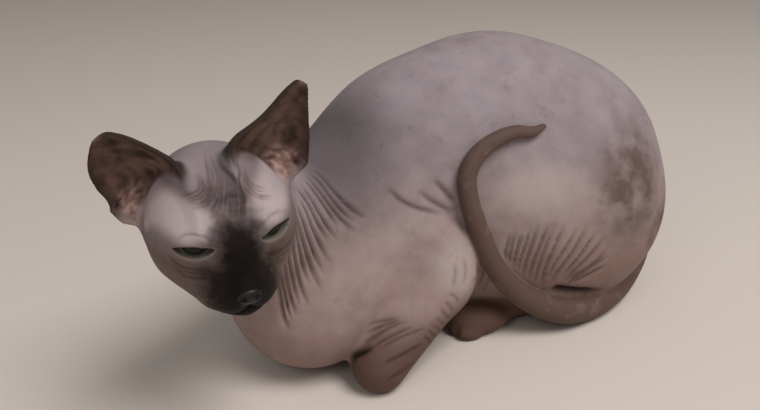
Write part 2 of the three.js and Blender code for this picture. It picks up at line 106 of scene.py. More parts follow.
EYE = dict(at=V(21.2, 15.5, 7.2), radius=10.4, lid=1.4)
eye_low, eye_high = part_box("eye_left")
packed_eye = np.array((eye_low + eye_high) / 2)
drawn_eye = to_blender(from_head(EYE["at"]))
print("left eye, packed and drawn, mm:", (packed_eye / MM).round(2), (drawn_eye / MM).round(2))

# %% [markdown]
# ## Camera
# The camera comes first, because the folds are placed along the lines in which it sees them.
# It looks a little down at the cat from its left and from in front, with the head on the left
# of the picture.

# %% The camera
CAMERA_AT = V(-186, -465, 288.3)
CAMERA_TURN, CAMERA_DOWN = np.radians([18.0, 22.0])
PICTURE = (760, 410)
FOCAL = 800.0  # focal length in pixels of the picture

look = V(np.sin(CAMERA_TURN) * np.cos(CAMERA_DOWN), np.cos(CAMERA_TURN) * np.cos(CAMERA_DOWN),
         -np.sin(CAMERA_DOWN))
look_right = unit(np.cross(look, V(0, 0, 1)))
look_up = np.cross(look_right, look)

camera_data = bpy.data.cameras.new("camera")
camera_data.sensor_width = 36.0
camera_data.lens = 36.0 * FOCAL / PICTURE[0]


def placed(name, data, at=(0, 0, 0), turn=(1, 0, 0, 0)):
    """Puts a thing into the scene, at a place and with a turn."""
    made = bpy.data.objects.new(name, data)
    bpy.context.scene.collection.objects.link(made)
    made.location = Vector(at)
    made.rotation_mode = "QUATERNION"
    made.rotation_quaternion = turn
    return made


camera_turn = Matrix((look_right, look_up, -look)).transposed().to_quaternion()
bpy.context.scene.camera = placed("camera", camera_data, to_blender(CAMERA_AT), camera_turn)

# %% [markdown]
# ## The forms under the skin
# Modelling a body by pushing single points about is slow, and it leaves lumps. Here each form
# is a rule that says how far a point lies outside it. Two rules are joined with a fillet, as skin
# bridges the hollow between two muscles. The same sizes made the solids, so the skin fits them.

# %% Rules for an egg and a limb, and the fillet that joins two forms
def egg(p, at, radii):
    q = p - at
    near = np.linalg.norm(q / radii, axis=-1)
    slope = np.linalg.norm(q / (radii * radii), axis=-1)
    return near * (near - 1) / np.maximum(slope, 1e-9)


def limb(p, start, end, wide, narrow):
    axis = end - start
    along = np.clip(((p - start) @ axis) / (axis @ axis), 0, 1)
    return np.linalg.norm(p - start - along[:, None] * axis, axis=-1) - wide - (narrow - wide) * along


def blend(a, b, fillet):
    h = np.clip(0.5 + 0.5 * (b - a) / fillet, 0, 1)
    return b + (a - b) * h - fillet * h * (1 - h)


def cut(a, b, fillet):
    return -blend(-a, b, fillet)


def soft(low, high, x):
    """Runs smoothly from 0 at low to 1 at high."""
    t = np.clip((x - low) / (high - low), 0, 1)
    return t * t * (3 - 2 * t)


def away(p, place, stretch=1):
    """How far each point is from a place, with each direction stretched by so much."""
    return np.linalg.norm((p - place) * stretch, axis=-1)


def other_side(point):
    return point * V(1, -1, 1) + V(0, 2 * MIDLINE, 0)


# %% The trunk: barrel, rump, ribs, withers and chest
def trunk_form(p):
    d = blend(egg(p, V(46.5, 23, 93), V(104, 67, 103)), egg(p, V(109.7, 23, 90), V(74.4, 65, 79)), 32)
    d = blend(d, egg(p, V(-18.6, 23, 95), V(61, 52, 76)), 28)
    d = blend(d, egg(p, V(-52, 23, 90), V(34, 34, 42)), 28)
    return blend(d, egg(p, V(-89.3, -15.8, 44.6), V(49.3, 57.7, 45.6)), 28)


# %% The legs, tucked under. The near foreleg lies with its elbow out, on the floor
TOES = dict(at=V(27.9, -26, 10.2), radii=V(22.3, 14.9, 11.2))
TOE = dict(count=4, radii=V(9.3, 4.8, 5.6), spread=7.1, reach=14)


def arm_form(p, side):
    d = limb(p, side(V(-74.4, -20.5, 57.7)), side(V(-9.3, -35.3, 57.7)), 35.3, 25.1)
    return blend(d, egg(p, side(V(-48, -9.3, 93)), V(34, 31.6, 40)), 23)


def foot_form(p, side):
    d = limb(p, side(V(139.5, -13, 16.7)), side(V(55.8, -16.7, 13)), 14, 12.1)
    d = blend(d, egg(p, side(TOES["at"]), TOES["radii"]), 11)
    for i in range(TOE["count"]):
        across = i - (TOE["count"] - 1) / 2
        at = TOES["at"] + V(3 * abs(across) - TOE["reach"], across * TOE["spread"], 0)
        at[2] = TOE["radii"][2] - 0.5
        d = blend(d, egg(p, side(at), TOE["radii"]), 2.5)
    return d


def near_side(point):
    return point


ELBOW = dict(at=V(-16, -40.5, 60), radii=V(31.5, 19, 35))
FORELEGS = [
    (V(-11.2, -39.1, 48.4), V(-57.7, -70.7, 15.3), 22.3, 15.8,
     V(-57.7, -65.1, 14), V(-41.9, -27.9, 11.2), 14.4, 11.6),
    (V(-11, 80, 46), V(-70, 70, 15.5), 22, 15.5,
     V(-70, 66, 14), V(-44, 42, 11.5), 14.5, 11.5),
]


def body_form(p):
    d = trunk_form(p)
    for side, (elbow, wrist, a, b, heel, tip, e, f) in zip((near_side, other_side), FORELEGS):
        d = blend(d, egg(p, side(V(100.4, -11.2, 68.8)), V(70.7, 42.8, 65.1)), 20)
        d = blend(d, arm_form(p, side), 15)
        d = blend(d, egg(p, side(ELBOW["at"]), ELBOW["radii"]), 5)
        d = blend(d, limb(p, elbow, wrist, a, b), 10)
        d = blend(d, limb(p, heel, tip, e, f), 8)
        d = blend(d, foot_form(p, side), 6)
    return d


def neck_form(p):
    d = limb(p, V(-66, 16, 86), V(-119, -39.1, 114), 40, 33)
    return blend(d, limb(p, V(-93, -7.4, 61.4), V(-128.3, -52.1, 104.2), 40.9, 27.9), 23)


def necked_form(p):
    return blend(body_form(p), neck_form(p), 20)


# %% [markdown]
# ## The head
# The head is a wedge: a round skull, high cheek bones, a straight bridge down to the nose, and two
# full whisker pads over a small chin. It is the same on both sides, so every paired form is given
# once and read from the absolute distance to the middle plane.

# %% Skull, cheeks, bridge, muzzle, jaw and the swelling of the eyes
NOSE = dict(at=V(42.8, 0, -17.2), radii=V(4.2, 5.8, 3.9))


def head_form(p):
    q = in_head(p)
    s = paired_in_head(p)
    d = blend(egg(q, V(-7.4, 0, 7.4), V(37.2, 32.6, 30.2)), egg(q, V(11.2, 0, 1.9), V(27.9, 25.1, 25.1)), 13)
    d = blend(d, egg(s, V(4.8, 21.8, -0.4), V(22.3, 15.2, 17.8)), 11)
    d = blend(d, egg(s, V(18.6, 17.7, 12.1), V(13, 11.2, 7.4)), 8)
    d = blend(d, limb(q, V(16.7, 0, 2.8), V(36.3, 0, -14.9), 12.6, 8.4), 9)
    d = blend(d, egg(s, V(32.6, 5.8, -21.8), V(10.8, 8.2, 8.2)), 6)
    d = blend(d, egg(q, NOSE["at"], NOSE["radii"]), 4)
    d = blend(d, egg(q, V(27.9, 0, -29.8), V(11.2, 8.8, 6.5)), 5)
    d = blend(d, limb(s, V(0, 18.6, -14.9), V(22.5, 11, -22), 14, 10.6), 10)
    return blend(d, away(s, EYE["at"]) - EYE["radius"] - EYE["lid"], 4)


# %% [markdown]
# ## The ears
# A sphynx ear is a thin leaf of gristle, very large, open in front and bent into a deep bowl. As a
# rule it is a curved sheet with a thickness. Its outline is a list of half widths up its height,
# and a second list says how deep the bowl is at each height.

# %% One ear as a bent sheet
EAR = dict(inner=V(7.9, 14.8, 28.1), outer=V(-8.4, 45.8, 8.1), tip=V(0, 48.4, 61.4), thick=2.4, roll=0.45)
EAR_HEIGHTS = [-13, 0, 9.3, 16.7, 24.2, 30.7, 37.2, 41.9, 45.6, 47.4]
EAR_CENTRE = [-5, -1, -0.5, -3.3, -4.7, -6, -7, -7.4, -7.4, -7.4]
EAR_HALF_WIDTH = [14, 20.9, 22.8, 20.9, 18.1, 14.8, 11.2, 8.2, 5.2, 3]
EAR_CUP = [16.3, 14.9, 13.5, 11.6, 9.3, 7.4, 5.6, 4.2, 2.8, 2.3]
EAR_LENGTH = {1: 1.06, -1: 0.9}
# An edge swells by so much, most at one height, and fades over a reach
OUTER_EDGE = {1: [(-1.2, 36, 12), (-5, -1, 8)], -1: [(5.4, 36, 12), (-3, 12, 8)]}
INNER_EDGE = {1: [(14, 9, 13)], -1: [(1.5, 6, 13)]}

ear_root = (EAR["inner"] + EAR["outer"]) / 2
ear_across = unit(EAR["outer"] - EAR["inner"])
ear_along = EAR["tip"] - ear_root
ear_along = unit(ear_along - ear_across * (ear_along @ ear_across))
ear_facing = np.cross(ear_across, ear_along)


def swell(edge, height):
    return sum(by * np.exp(-((height - at) / reach) ** 2) for by, at, reach in edge)


def ear_places(p, side):
    """For each point: its share across the ear, its height up it, and how far it is before the sheet."""
    q = in_head(p) * V(1, side, 1) - ear_root
    across, height, before = q @ ear_across, q @ ear_along / EAR_LENGTH[side], q @ ear_facing
    outer, inner = swell(OUTER_EDGE[side], height), swell(INNER_EDGE[side], height)
    half = np.interp(height, EAR_HEIGHTS, EAR_HALF_WIDTH) + (outer + inner) / 2
    cup = np.interp(height, EAR_HEIGHTS, EAR_CUP)
    share = (across - np.interp(height, EAR_HEIGHTS, EAR_CENTRE) - (outer - inner) / 2) / half
    bent = np.clip(share, -1.3, 1.3)
    steep = np.sqrt(1 + (2 * cup * bent / half) ** 2)
    return share, height, (before + cup * (1 - bent * bent)) / steep, half


def ear_form(p, side):
    share, height, before, half = ear_places(p, side)
    top = EAR_HEIGHTS[-1]
    thick = EAR["thick"] * (1 - 0.35 * np.clip(height / top, 0, 1)) / 2
    beyond = np.maximum((np.abs(share) - 1) * half * 0.85, (height - top) * 0.9)
    thick = thick + EAR["roll"] * soft(-5, -0.5, beyond)
    beyond = beyond + thick
    sheet = np.hypot(before, np.maximum(beyond, 0)) - thick
    return np.maximum(sheet, -height - 12)


# %% [markdown]
# ## The tail
# The tail leaves the rump, runs forward along the floor beside the feet, turns up in front of the
# thigh and ends over the flank. It is a chain of short limbs along one smooth line.

# %% The line of the tail and its thickness
TAIL = np.array([
    (161.8, 29.8, 76.3), (176.7, 22.3, 52.1), (169.3, 4, 29.8), (146.5, -14.5, 14.5), (121, -31, 11.4),
    (99, -40, 12), (82, -45.5, 16), (66, -45.2, 22), (51, -45, 31.5), (38.5, -45.4, 43.6),
    (28, -47, 57.8), (20.8, -49, 71), (14, -47.4, 88.5), (8.4, -45, 106), (7.6, -42.8, 121.5),
    (15, -40.6, 133.8), (27.5, -39.3, 141.5), (40.5, -38.8, 144.8), (52, -38.6, 143.8), (61, -36.8, 146.2)])
TAIL_RADIUS = [14, 13, 12.1, 11.4, 10.8, 10.2, 9.4, 8.6, 7.9, 7.3,
               6.9, 6.6, 6.4, 6.2, 6, 5.5, 5, 4.4, 3.6, 1.7]


def smooth_line(points, steps):
    """A smooth line that passes through each of the points."""
    points = np.asarray(points, float)
    padded = np.vstack([2 * points[0] - points[1], points, 2 * points[-1] - points[-2]])
    made = []
    for a, b, c, d in zip(padded[:-3], padded[1:-2], padded[2:-1], padded[3:]):
        for t in np.arange(steps) / steps:
            made.append(b + 0.5 * t * (c - a + t * (2 * a - 5 * b + 4 * c - d + t * (3 * (b - c) + d - a))))
    return np.vstack(made + [points[-1]])


TAIL_AT_ELBOW = V(16, -47, 72)  # where the tail squeezes past the elbow

tail_line = smooth_line(np.column_stack([TAIL, TAIL_RADIUS]), 6)


def tail_form(p):
    d = np.full(len(p), 99.0)
    near = np.all((p > tail_line[:, :3].min(0) - 40) & (p < tail_line[:, :3].max(0) + 40), axis=1)
    q = p[near]
    e = d[near]
    for a, b in zip(tail_line[:-1], tail_line[1:]):
        e = np.minimum(e, limb(q, a[:3], b[:3], a[3], b[3]))
    d[near] = e
    return d


# %% [markdown]
# ## Eyes half closed
# The eyeball is a ball in a socket. The lids are the skin over that ball, and the gap between them
# is a leaf shape: nearly straight above, where the upper lid hangs half way down, and curved
# below. The gap is sunk as a pit with rounded edges, and the eyeball is set into it later.

# %% The gap between the lids
GAZE = unit(V(0.91, 0.4, 0.02))
LID_GAP = dict(half=10, above=2.2, below=5, tilt=-2, edge=0.8)

lid_across = unit(np.cross(V(0, 0, 1), GAZE))
lid_up = np.cross(GAZE, lid_across)
tilt = np.radians(-LID_GAP["tilt"])
lid_across, lid_up = (lid_across * np.cos(tilt) + lid_up * np.sin(tilt),
                      lid_up * np.cos(tilt) - lid_across * np.sin(tilt))


def lid_places(p):
    """Across, up and out from the middle of the nearer eye."""
    s = paired_in_head(p) - EYE["at"]
    return s @ lid_across, s @ lid_up, s @ GAZE


def lid_gap(p):
    """How far a point is outside the leaf-shaped gap."""
    x, y, out = lid_places(p)
    share = 1 - (x / LID_GAP["half"]) ** 2
    tall = np.sign(share) * np.abs(share) ** 0.75
    d = np.maximum(y - LID_GAP["above"] * tall, -y - LID_GAP["below"] * tall) * 0.85
    return np.where(out > 0, d, 30.0)


# %% The whole skin as one rule
def skin_form(p):
    far = away(p, HEAD_AT)
    d = np.full(len(p), 99.0)
    trunk = (p[:, 0] > -170) & ((p[:, 2] < 162) | (p[:, 0] > -95))
    d[trunk] = necked_form(p[trunk])
    near = far < 115
    q = p[near]
    e = blend(d[near], head_form(q), 13)
    for side in (1, -1):
        share, height, _, _ = ear_places(q, side)
        e = blend(e, ear_form(q, side), 4.5 + 9 * soft(0.2, -0.9, share) * soft(24, 6, height))
    depth = away(paired_in_head(q), EYE["at"])
    pit = np.maximum(lid_gap(q), EYE["radius"] - 1.2 - depth)
    d[near] = cut(e, pit, LID_GAP["edge"])
    squeezed = soft(34, 14, away(p, TAIL_AT_ELBOW))
    d = blend(d, tail_form(p), 1.6 + 2.8 * squeezed)
    return np.maximum(d, -p[:, 2])


# %% [markdown]
# ## Drawing the skin
# The rule is read on a grid of points. Wherever two neighbours lie on different sides of the skin,
# a corner of the mesh is set between them, and four such corners make a face. Only points near the
# skin need reading: a coarse grid is read first, and the fine grid only where the coarse one says
# that the skin is near. The lines of the grid stand closer together over the head.

# %% A grid whose lines are closer where detail is wanted
def grid_lines(low, high, step, zones):
    lines = [low]
    while lines[-1] < high:
        at = lines[-1]
        here = [fine for a, b, fine in zones if a - fine <= at <= b]
        lines.append(at + min(here + [step]))
    return np.array(lines)


STEP = 1.9
xs = grid_lines(-218, 199, STEP, [(-216, -84, 0.85), (-176, -112, 0.7), (-84, -30, 1.3)])
ys = grid_lines(-140, 109, STEP, [(-136, -66, 0.8), (-66, -40, 1.15), (-40, -20, 1.5)])
zs = grid_lines(-3, 206, STEP, [(20, 92, 1.5), (92, 120, 1.1), (120, 146, 0.7), (146, 205, 0.85)])


def read_form(form, xs, ys, zs, skip=5):
    shape = (len(xs), len(ys), len(zs))
    coarse = [lines[::skip] for lines in (xs, ys, zs)]
    points = np.stack(np.meshgrid(*coarse, indexing="ij"), -1).reshape(-1, 3)
    rough = form(points).reshape([len(c) for c in coarse])
    for axis, size in enumerate(shape):
        rough = np.take(rough, np.minimum((np.arange(size) + skip // 2) // skip, rough.shape[axis] - 1), axis)
    values = rough.astype(np.float32)
    spacing = [np.gradient(lines) for lines in (xs, ys, zs)]
    widest = np.maximum(np.maximum(spacing[0][:, None, None], spacing[1][:, None]), spacing[2])
    near = np.argwhere(np.abs(rough) < widest * skip)
    for part in np.array_split(near, max(len(near) // 300000, 1)):
        points = np.stack([xs[part[:, 0]], ys[part[:, 1]], zs[part[:, 2]]], -1)
        values[part[:, 0], part[:, 1], part[:, 2]] = form(points)
    print("read", len(near), "of", values.size, "points")
    return values


# %% Corners between the lines, and faces round each crossing
def net_of(values, xs, ys, zs):
    inside = values < 0
    lines = (xs, ys, zs)
    cells = np.array(values.shape)
    keys, places, rings = [], [], []
    for axis in range(3):
        others = [a for a in range(3) if a != axis]
        low = [slice(1, -1)] * 3
        low[axis] = slice(0, -1)
        high = list(low)
        high[axis] = slice(1, None)
        crossing = np.argwhere(inside[tuple(low)] != inside[tuple(high)])
        crossing[:, others] += 1
        beyond = crossing.copy()
        beyond[:, axis] += 1
        a, b = values[tuple(crossing.T)], values[tuple(beyond.T)]
        share = a / (a - b)
        at = np.stack([lines[k][crossing[:, k]] for k in range(3)], -1)
        at[:, axis] += share * (lines[axis][beyond[:, axis]] - at[:, axis])
        ring = []
        for back in ((1, 1), (0, 1), (0, 0), (1, 0)):
            cell = crossing.copy()
            cell[:, others[0]] -= back[0]
            cell[:, others[1]] -= back[1]
            key = np.ravel_multi_index(cell.T, cells)
            ring.append(key)
            keys.append(key)
            places.append(at)
        ring = np.stack(ring, 1)
        turned = (a >= 0) if axis != 1 else (a < 0)
        ring[turned] = ring[turned][:, ::-1]
        rings.append(ring)
    found, index = np.unique(np.concatenate(keys), return_inverse=True)
    places = np.concatenate(places)
    count = np.bincount(index)
    corners = np.stack([np.bincount(index, places[:, k]) / count for k in range(3)], -1)
    return corners, np.searchsorted(found, np.concatenate(rings))


def largest_piece(corners, faces):
    """Keeps the outer skin and drops any small closed pocket inside the body."""
    label = np.arange(len(corners))
    while True:
        lowest = label[faces].min(1)
        new = label.copy()
        for k in range(4):
            np.minimum.at(new, faces[:, k], lowest)
        new = new[new]
        if (new == label).all():
            break
        label = new
    keep = label == np.bincount(label).argmax()
    number = np.cumsum(keep) - 1
    faces = number[faces[keep[faces[:, 0]]]]
    return corners[keep], faces


# %% Slopes of a rule, and settling points onto it
def slopes(form, p, reach=0.3):
    steps = np.eye(3) * reach
    return np.stack([form(p + e) - form(p - e) for e in steps], -1) / (2 * reach)


def settle(form, p, times=2):
    for _ in range(times):
        g = slopes(form, p)
        p = p - g * np.clip(form(p) / np.maximum((g * g).sum(1), 0.1), -2, 2)[:, None]
    return p


def relaxed(corners, faces, times=2):
    """Moves each corner to the middle of its neighbours, which evens out the net."""
    a, b = faces.ravel(), np.roll(faces, -1, axis=1).ravel()
    count = np.bincount(a, minlength=len(corners))[:, None]
    for _ in range(times):
        around = np.stack([np.bincount(a, corners[b, k], len(corners)) for k in range(3)], -1)
        corners = (corners + around / count) / 2
    return corners


values = read_form(skin_form, xs, ys, zs)
corners, faces = largest_piece(*net_of(values, xs, ys, zs))
corners = settle(skin_form, relaxed(corners, faces), 2)
outward = unit(slopes(skin_form, corners))
print("skin:", len(corners), "corners,", len(faces), "faces")

# %% [markdown]
# ## Folds
# With no coat to cover them, the folds are what a sphynx is known for. They run where the skin is
# slack: in a fan from the cheek down the neck, because the head is turned, over the flank, in a fan
# on the thigh, on the elbow, on the forehead and round the eyes. Each family is a few leading lines
# as the camera sees them, with the rest spaced between, a little unevenly. A line is thrown from
# the camera onto the form, and a groove is pressed in along it.

# %% Throwing a line of the picture onto a form
def thrown(form, pixels):
    pixels = np.asarray(pixels, float)
    rays = look + np.outer((pixels[:, 0] - PICTURE[0] / 2) / FOCAL, look_right)
    rays = unit(rays - np.outer((pixels[:, 1] - PICTURE[1] / 2) / FOCAL, look_up))
    far = np.full(len(rays), 250.0)
    for _ in range(60):
        far += np.clip(form(CAMERA_AT + rays * far[:, None]) * 0.8, -5, 60)
    points = CAMERA_AT + rays * far[:, None]
    return points, (far < 1200) & (np.abs(form(points)) < 1.5)


rng = np.random.default_rng(7)
grooves = []


def family(form, leaders, count, depth, width, uneven=0.18, mirrored=False):
    """Lines spaced between the leading ones. Each is kept with its own depth and width."""
    leaders = np.asarray(leaders, float)
    most = len(leaders) - 1
    lines = []
    for i in range(count):
        place = i / max(count - 1, 1) * most + rng.uniform(-uneven, uneven) * most / count
        place = np.clip(place, 0, most)
        k = min(int(place), max(most - 1, 0))
        line = smooth_line(leaders[k] + (leaders[min(k + 1, most)] - leaders[k]) * (place - k), 9)
        line = line[int(rng.uniform(0, 0.1) * len(line)):int(np.ceil(rng.uniform(0.78, 1) * len(line)))]
        wander = np.sin(np.linspace(0, rng.uniform(3, 7), len(line)) + rng.uniform(0, 6))
        lines.append(line + np.outer(wander, rng.normal(0, 0.5, 2)))
    found, sound = thrown(form, np.vstack(lines))
    sound &= tail_form(found) > 2.5
    found = settle(skin_form, found, 3)
    sides = [found, settle(skin_form, other_side(found), 4)] if mirrored else [found]
    start = 0
    for line in lines:
        here = slice(start, start + len(line))
        start += len(line)
        size = (depth * rng.uniform(0.75, 1.15), width * rng.uniform(0.85, 1.15))
        for one in sides:
            if sound[here].sum() > 3:
                grooves.append((one[here][sound[here]], *size))


# %% Leading lines of the body's folds, in pixels of the picture
NECK_FAN = [
    [(306, 165), (322, 175), (338, 194), (352, 209), (370, 222)],
    [(302, 175), (314, 189), (326, 206), (338, 223), (353, 239)],
    [(293, 187), (306, 204), (316, 226), (326, 246), (339, 270)],
    [(293, 204), (299, 226), (304, 248), (310, 272), (319, 297)],
    [(289, 246), (290, 264), (293, 281), (296, 300), (302, 320)],
    [(279, 268), (279, 284), (280, 300), (282, 315), (287, 329)]]
SHOULDER_FOLDS = [
    [(384, 184), (400, 199), (420, 209), (449, 217)],
    [(414, 188), (428, 199), (442, 207), (461, 218)],
    [(434, 180), (446, 193), (456, 203), (466, 211)]]
THIGH_FAN = [
    [(510, 232), (507, 246), (506, 258), (508, 268)],
    [(524, 228), (519, 248), (515, 264), (516, 278)],
    [(544, 222), (536, 246), (529, 266), (524, 284)],
    [(568, 220), (556, 246), (546, 268), (541, 290)],
    [(594, 222), (578, 248), (562, 270), (549, 288)],
    [(612, 240), (596, 258), (577, 274), (557, 289)],
    [(606, 266), (592, 274), (577, 282), (561, 291)]]
GROIN = [
    [(478, 262), (476, 276), (472, 290)],
    [(492, 270), (488, 282), (483, 293)]]
FOREARM = [
    [(362, 330), (376, 323), (392, 319), (408, 316)],
    [(362, 345), (376, 335), (392, 326), (410, 321)],
    [(378, 350), (394, 341), (412, 334), (430, 328)],
    [(384, 382), (400, 374), (414, 364), (426, 352)]]
ELBOW_CREASES = [
    [(422, 336), (429, 341), (433, 348)],
    [(434, 318), (442, 323), (446, 330)],
    [(448, 292), (456, 296), (460, 304)]]
ELBOW_BACK = [
    [(454, 262), (455, 276), (452, 290)],
    [(464, 258), (466, 272), (463, 288)]]
TAIL_LINE = [[(586, 289), (602, 290), (618, 289), (630, 287)]]

# %% Lay the folds of the neck, the shoulder, the thigh and the forearm
family(necked_form, NECK_FAN, 15, 3.2, 1.3, 0.1)
family(necked_form, SHOULDER_FOLDS, 3, 2.2, 1.5, 0, True)
family(necked_form, THIGH_FAN, 15, 1.9, 1.1, 0.12, True)
family(necked_form, GROIN, 3, 1.2, 1.0, 0.1, True)
family(necked_form, FOREARM, 7, 1.3, 0.9, 0.2)
family(necked_form, ELBOW_CREASES, 7, 0.9, 0.8, 0.2)
family(necked_form, ELBOW_BACK, 2, 0.8, 1.2, 0.1)
family(necked_form, TAIL_LINE, 1, 1.8, 1.0, 0)

# %% The forehead, the inner roots of the ears and the eyes, in the same way
FOREHEAD = [
    [(203, 154), (209, 176), (207, 197), (199, 211)],
    [(213, 152), (221, 178), (217, 202), (208, 217)],
    [(222, 152), (229, 180), (233, 206), (236, 228)],
    [(231, 154), (239, 182), (244, 206), (245, 228)]]
EAR_ROOT_RIGHT = [
    [(180, 197), (194, 195), (200, 187), (195, 174)],
    [(188, 211), (206, 205), (212, 190), (206, 170)]]
EAR_ROOT_LEFT = [
    [(243, 164), (250, 182), (262, 187), (274, 186)],
    [(238, 172), (245, 191), (258, 198), (274, 198)]]
UNDER_EYE_RIGHT = [
    [(167, 254), (180, 266), (200, 270), (219, 265)],
    [(171, 264), (185, 276), (202, 279), (217, 275)]]
UNDER_EYE_LEFT = [
    [(259, 253), (274, 255), (287, 247), (296, 234)],
    [(263, 262), (278, 263), (291, 253), (299, 240)]]
LID_RIGHT = [[(174, 243), (187, 236), (202, 236), (214, 244)]]
LID_LEFT = [[(258, 231), (265, 221), (276, 213), (289, 210)]]

family(head_form, FOREHEAD, 11, 1.3, 0.8, 0.1)
family(head_form, EAR_ROOT_RIGHT, 5, 1.2, 0.8, 0.1)
family(head_form, EAR_ROOT_LEFT, 4, 1.1, 0.8, 0.1)
family(head_form, UNDER_EYE_RIGHT, 3, 0.9, 0.8, 0.1)
family(head_form, UNDER_EYE_LEFT, 3, 0.8, 0.8, 0.1)
family(head_form, LID_RIGHT, 1, 0.6, 0.8, 0)
family(head_form, LID_LEFT, 1, 0.6, 0.8, 0)

# %% The line of the mouth and the cleft under the nose
LIPS = np.array([(13, 21, -27), (24, 17, -29.5), (35, 12, -31), (42, 5.5, -30.5), (44.5, 0, -28.5)])
lips = np.vstack([LIPS, LIPS[-2::-1] * V(1, -1, 1)])
lips = settle(head_form, from_head(smooth_line(lips, 5)), 6)
cleft = settle(head_form, from_head([(47, 0, -20.5), (46, 0, -24), (45.5, 0, -27.5)]), 6)
special = [(lips, 1.5, 0.9), (cleft, 0.9, 0.7)]

# %% Deep creases: over the tail where it lies against the thigh, and between chest and forearm
POCKET = [(72, -44, 34), (78, -45, 32), (88, -45, 29), (100, -44, 26), (114, -40, 22)]
ARM_CREASE = [(-76, -66, 18), (-73, -68, 23), (-69, -71, 27), (-63, -73, 31)]
pocket = settle(necked_form, smooth_line(POCKET, 6), 3)
arm_crease = settle(skin_form, smooth_line(ARM_CREASE, 6), 4)
clefts = [(pocket, 5.5, 3.0), (arm_crease, 3.0, 1.8)]
special += clefts


# %% Pressing the grooves into the skin
def pressed(points, lines, wide=1.3):
    """How deep each point lies in the grooves, and how near it is to one, from 0 to 1."""
    deep = np.zeros(len(points))
    near = np.zeros(len(points))
    for line, depth, width in lines:
        box = np.all((points > line.min(0) - 6) & (points < line.max(0) + 6), axis=1)
        at = np.nonzero(box)[0]
        if not len(at):
            continue
        best = np.full(len(at), 1e9)
        along = np.zeros(len(at))
        q = points[at]
        for i, (a, b) in enumerate(zip(line[:-1], line[1:])):
            axis = b - a
            t = np.clip(((q - a) @ axis) / max(axis @ axis, 1e-9), 0, 1)
            d = np.linalg.norm(q - a - t[:, None] * axis, axis=1)
            closer = d < best
            best[closer] = d[closer]
            along[closer] = (i + t[closer]) / (len(line) - 1)
        taper = np.clip(np.minimum(along, 1 - along) * 4, 0, 1) ** 0.7
        shape = np.exp(-(best / width) ** wide) * taper
        deep[at] = np.maximum(deep[at], depth * shape)
        near[at] = np.maximum(near[at], shape * min(depth / 1.2, 1))
    return deep, near


# The ribs of the bowl: where each starts across the ear, how it leans outward, and how high it is
RIBS = ((-0.55, 0.013, 0.7), (-0.25, 0.005, 1.0), (0.12, -0.003, 0.9), (0.45, -0.006, 0.8))
CANAL = dict(share=-0.12, height=3.0, wide=0.26, tall=6.5, deep=3.5)


def ear_inside(points):
    """How far each point of the bowl is raised, and how much it is rib, crumpled root or canal, where the
    hollows of the canal and the pouch get painted shade.
    """
    raised, rib, root, canal = np.zeros((4, len(points)))
    for side in (1, -1):
        share, height, before, _ = ear_places(points, side)
        there = soft(3, 1, np.abs(before)) * (before > 0) * (np.abs(share) < 1.02) * soft(-11, -5, height)
        ribs = np.zeros(len(points))
        for start, lean, size in RIBS:
            off = (share - start - lean * height) / 0.085
            ribs += size * np.exp(-off ** 2)
        ribs *= there * soft(33, 12, height) * soft(-6, 4, height)
        crumpled = there * soft(17, 8, height) * soft(0.1, 0.4, share) * soft(1.0, 0.8, share)
        bent = height + 3 * np.sin(share * 9)
        lumps = np.sin(bent * 0.62 + share * 4) * np.cos(share * 10 + 1.4 * np.sin(height * 0.7))
        hole_across = (share - CANAL["share"]) / CANAL["wide"]
        hole = np.exp(-hole_across ** 2 - ((height - CANAL["height"]) / CANAL["tall"]) ** 2)
        pouch = np.exp(-((share - 0.84) / 0.08) ** 2 - ((height - 9) / 3.5) ** 2)
        raised += ribs + 0.9 * crumpled * lumps - there * (CANAL["deep"] * hole + 1.8 * pouch)
        rib = np.maximum(rib, ribs)
        root = np.maximum(root, crumpled)
        # Painted shade: the hollows of the canal and the pouch are marked for near black paint.
        canal = np.maximum(canal, there * np.maximum(hole, 0.9 * pouch))
    return raised, rib, root, canal


def sunk(lines):
    """The same lines moved down to the bottom of their grooves."""
    stacked = np.vstack([line for line, _, _ in lines])
    inward = -unit(slopes(skin_form, stacked))
    starts = np.cumsum([0] + [len(line) for line, _, _ in lines])
    return [(line + inward[a:a + len(line)] * depth * 0.7, depth, width * 1.15)
            for (line, depth, width), a in zip(lines, starts)]


deep, _ = pressed(corners, grooves + special)
corners = corners + outward * (ear_inside(corners)[0] - deep)[:, None]
corners[:, 2] = np.maximum(corners[:, 2], 0)
print("deepest groove, mm:", round(deep.max(), 2))

# %% [markdown]
# ## A lighter mesh
# The net has more faces on the smooth back than it needs. Decimation joins faces where the skin
# is flat and leaves them small where it bends, so the folds keep their shape.

# %% Make the mesh and thin it out
SKIN_TRIANGLES = 192000  # about so many triangles are left on the skin after thinning; one piece stays under 200,000


def mesh_object(name, corners, faces, smooth=True):
    mesh = bpy.data.meshes.new(name)
    mesh.from_pydata([tuple(c) for c in to_blender(corners)], [], [tuple(f) for f in faces])
    mesh.update()
    mesh.polygons.foreach_set("use_smooth", [smooth] * len(mesh.polygons))
    made = bpy.data.objects.new(name, mesh)
    bpy.context.scene.collection.objects.link(made)
    return made


def settled_mesh(thing):
    """Applies what the modifiers do, and takes them off."""
    graph = bpy.context.evaluated_depsgraph_get()
    mesh = bpy.data.meshes.new_from_object(thing.evaluated_get(graph))
    thing.modifiers.clear()
    thing.data = mesh


skin = mesh_object("skin", corners, faces)
thinner = skin.modifiers.new("thinner", "DECIMATE")
thinner.ratio = min(1, SKIN_TRIANGLES / (2 * len(faces)))
settled_mesh(skin)
print("skin after thinning:", sum(len(face.vertices) - 2 for face in skin.data.polygons), "triangles")
